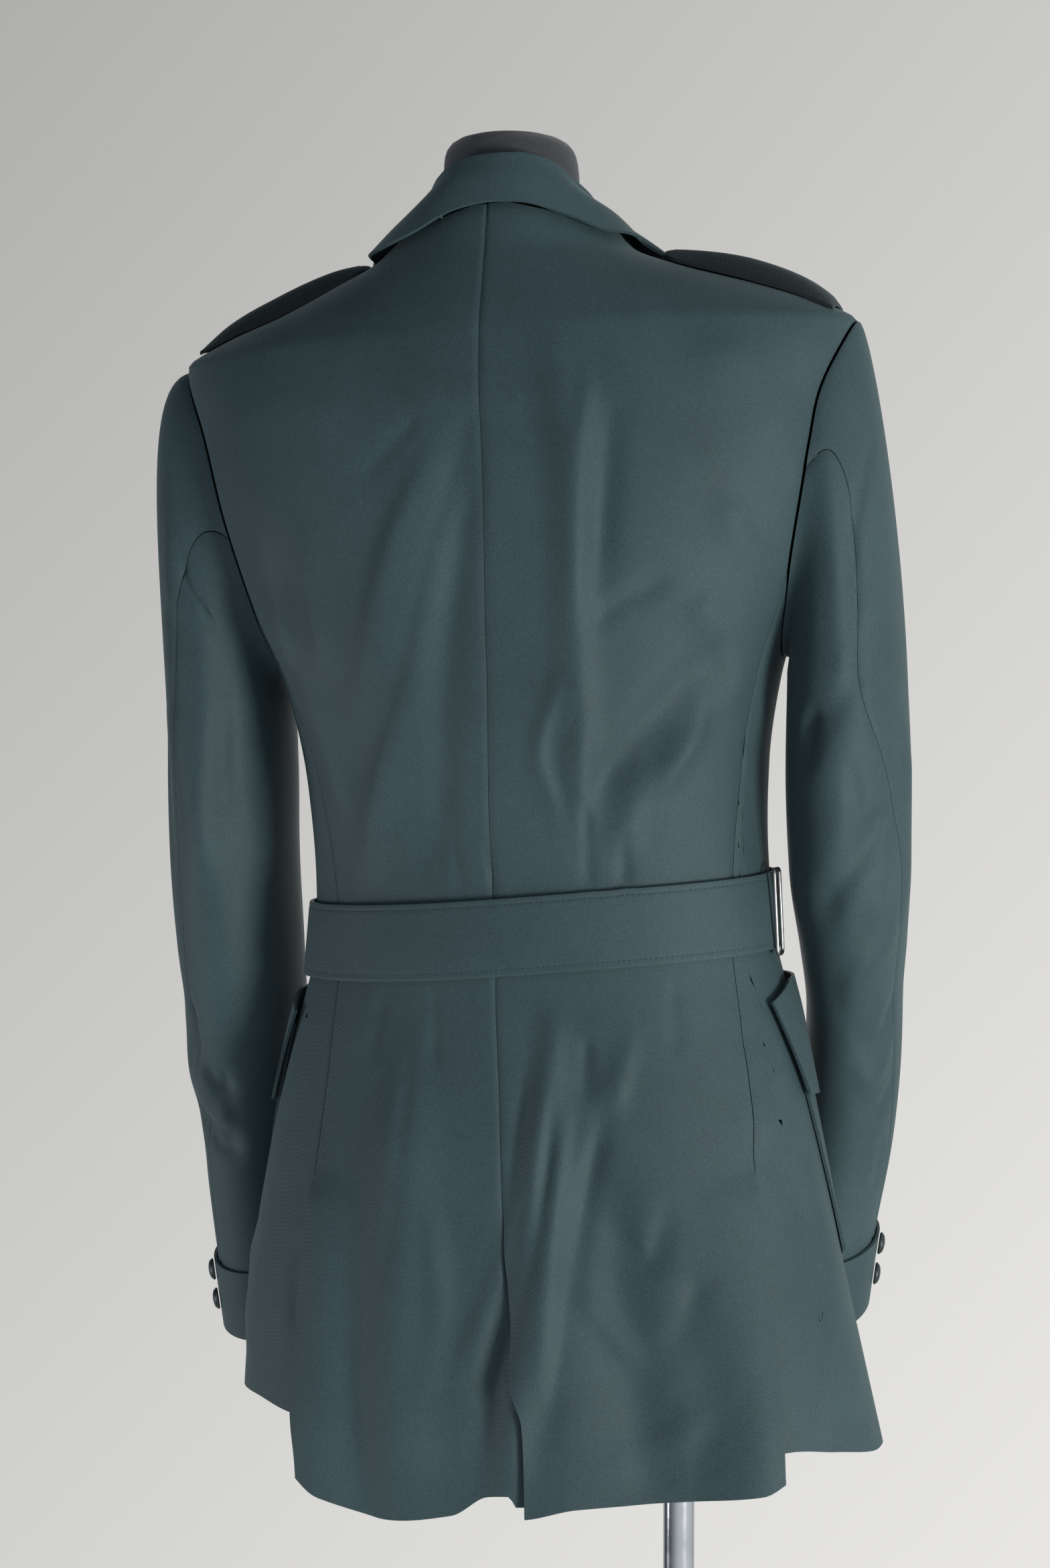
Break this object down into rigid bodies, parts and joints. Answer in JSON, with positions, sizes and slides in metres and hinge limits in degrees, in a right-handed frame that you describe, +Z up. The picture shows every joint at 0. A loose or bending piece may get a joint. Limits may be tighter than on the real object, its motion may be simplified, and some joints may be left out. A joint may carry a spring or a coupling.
{
  "type": "military dress uniform tunic on a limbless dress form with stand",
  "caption": "Belted wool dress tunic with shoulder straps, standing worn-shaped on a limbless dress form with a pole and round base.",
  "frame": {"origin": "centre of the stand base's flat underside, where it meets the floor and where the pole's axis comes down", "axes": "+Z up; the garment faces -Y, so its back is +Y, and the wearer's left is +X"},
  "size_m": [0.5326, 0.3843, 1.5475],
  "materials": {
    "uniform_cloth": "fine dark bottle-green wool twill with a faint sheen",
    "form_cover": "matt charcoal knitted cover",
    "stand_steel": "bright steel",
    "button_metal": "dark domed metal, plain",
    "buckle_metal": "bent wire, dull"
  },
  "bodies": {
    "root": {"back_left": "uniform_cloth", "side_left": "uniform_cloth", "front_left": "uniform_cloth", "pocket_left": "uniform_cloth", "pocket_flap_left": "uniform_cloth", "lapel_left": "uniform_cloth", "shoulder_strap_left": "uniform_cloth", "top_sleeve_left": "uniform_cloth", "under_sleeve_left": "uniform_cloth", "cuff_left": "uniform_cloth", "back_right": "uniform_cloth", "side_right": "uniform_cloth", "front_right": "uniform_cloth", "pocket_right": "uniform_cloth", "pocket_flap_right": "uniform_cloth", "lapel_right": "uniform_cloth", "shoulder_strap_right": "uniform_cloth", "top_sleeve_right": "uniform_cloth", "under_sleeve_right": "uniform_cloth", "cuff_right": "uniform_cloth", "collar": "uniform_cloth", "belt": "uniform_cloth", "belt_buckle": "buckle_metal", "belt_slide": "buckle_metal", "front_button_1": "button_metal", "front_button_2": "button_metal", "front_button_3": "button_metal", "front_button_4": "button_metal", "cuff_button_left_1": "button_metal", "cuff_button_left_2": "button_metal", "cuff_button_right_1": "button_metal", "cuff_button_right_2": "button_metal", "form_torso": "form_cover", "form_neck": "form_cover", "stand_flange": "stand_steel", "stand_pole": "stand_steel", "stand_base": "stand_steel"}
  },
  "joints": []
}
